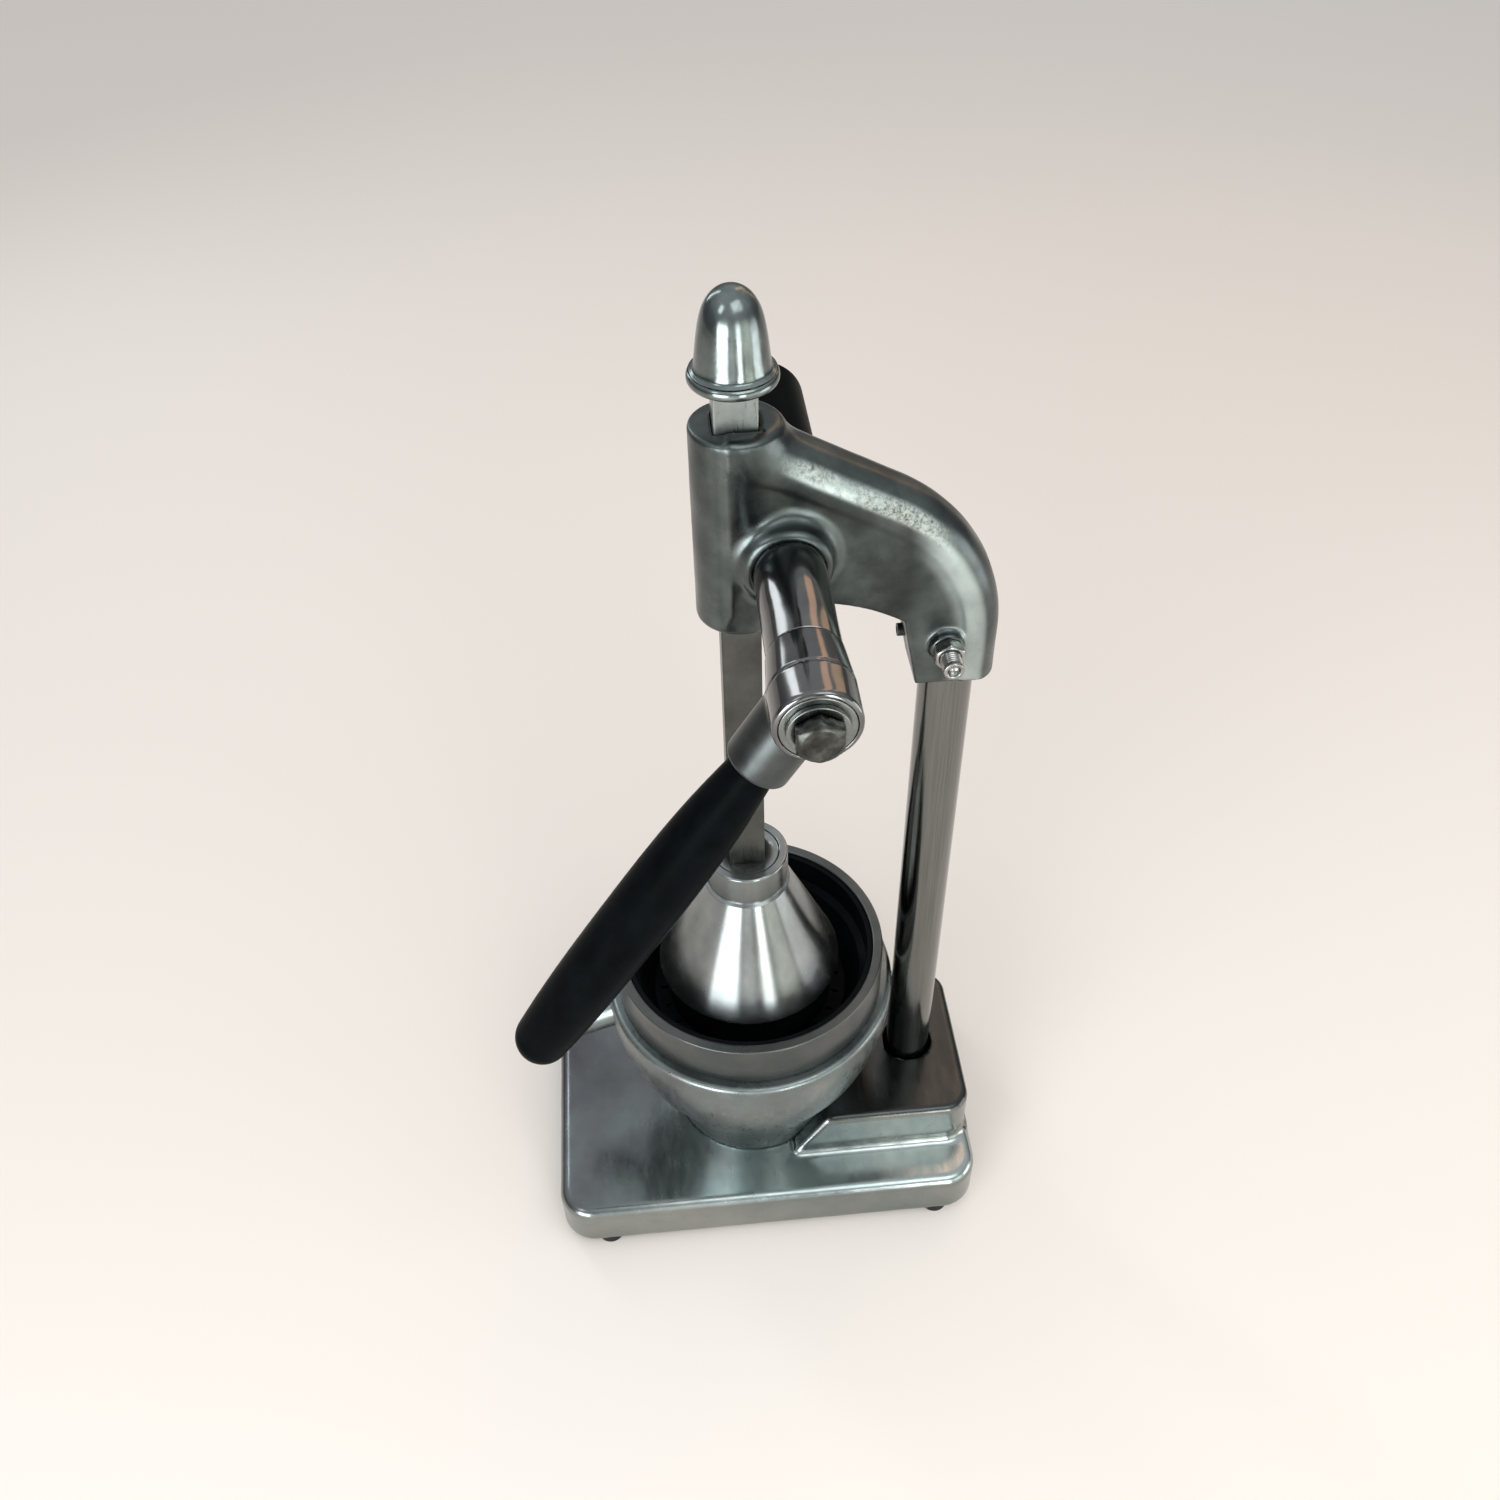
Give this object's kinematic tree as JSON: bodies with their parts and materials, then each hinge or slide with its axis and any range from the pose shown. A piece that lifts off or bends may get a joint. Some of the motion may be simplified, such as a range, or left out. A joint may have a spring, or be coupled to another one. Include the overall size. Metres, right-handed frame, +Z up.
{
  "type": "citrus press",
  "caption": "Hand-lever citrus press: a rack and pinion drives a cone down into a juice bowl on a cast base.",
  "frame": {"origin": "on the surface that the feet stand on, under the axis of the press cone", "axes": "+Z up along the press axis, +X towards the lever's side, -Y to the front where the spout is"},
  "size_m": [0.2401, 0.2495, 0.5705],
  "materials": {
    "cast_satin": "satin cast",
    "cast_base": "polished cast",
    "polished_steel": "polished",
    "spun_aluminium": "spun",
    "chrome": "mirror",
    "zinc_steel": "zinc plated",
    "dark_steel": "blackened",
    "gear_steel": "machined",
    "bronze": "sintered bronze",
    "black_plastic": "semi-matte",
    "rubber": "matte"
  },
  "bodies": {
    "stand": {"base_casting": "cast_base", "rubber_feet": "rubber", "foot_screws": "zinc_steel", "column": "polished_steel", "column_washer": "zinc_steel", "column_bolt": "zinc_steel", "juice_pot": "cast_base", "pot_collar": "cast_base", "juice_spout": "cast_base", "pot_screws": "zinc_steel", "bowl_band": "spun_aluminium", "strainer_bowl": "black_plastic", "reamer": "black_plastic", "head_casting": "cast_satin", "head_front_screw": "dark_steel", "head_lock_screw": "zinc_steel", "head_lock_nut": "zinc_steel", "shaft_sleeve": "chrome", "shaft_cover": "black_plastic", "cover_screw": "zinc_steel", "shaft_bush_far": "bronze", "shaft_bush_inner": "bronze", "shaft_bush_outer": "bronze"},
    "lever": {"pinion": "gear_steel", "pinion_key": "gear_steel", "pinion_shaft": "gear_steel", "lever_hub": "chrome", "hub_key": "gear_steel", "hub_washer": "chrome", "hub_spring_washer": "zinc_steel", "hub_bolt": "chrome", "lever_rod": "gear_steel", "lever_grip": "black_plastic"},
    "rack": {"rack_bar": "polished_steel", "press_cone": "spun_aluminium", "cone_screw": "zinc_steel", "top_knob": "polished_steel"}
  },
  "joints": [
    {"name": "lever_hinge", "type": "hinge", "parent": "stand", "child": "lever", "pos_m": [0, 0.0195, 0.4558], "axis": [-1, 0, 0], "range_deg": [0, 270]},
    {"name": "rack_slide", "type": "slide", "parent": "stand", "child": "rack", "axis": [0, 0, 1], "range_m": [0, 0.059]}
  ],
  "couplings": [
    {"joint": "rack_slide", "follows": "lever_hinge", "m_per_rad": 0.0125}
  ]
}
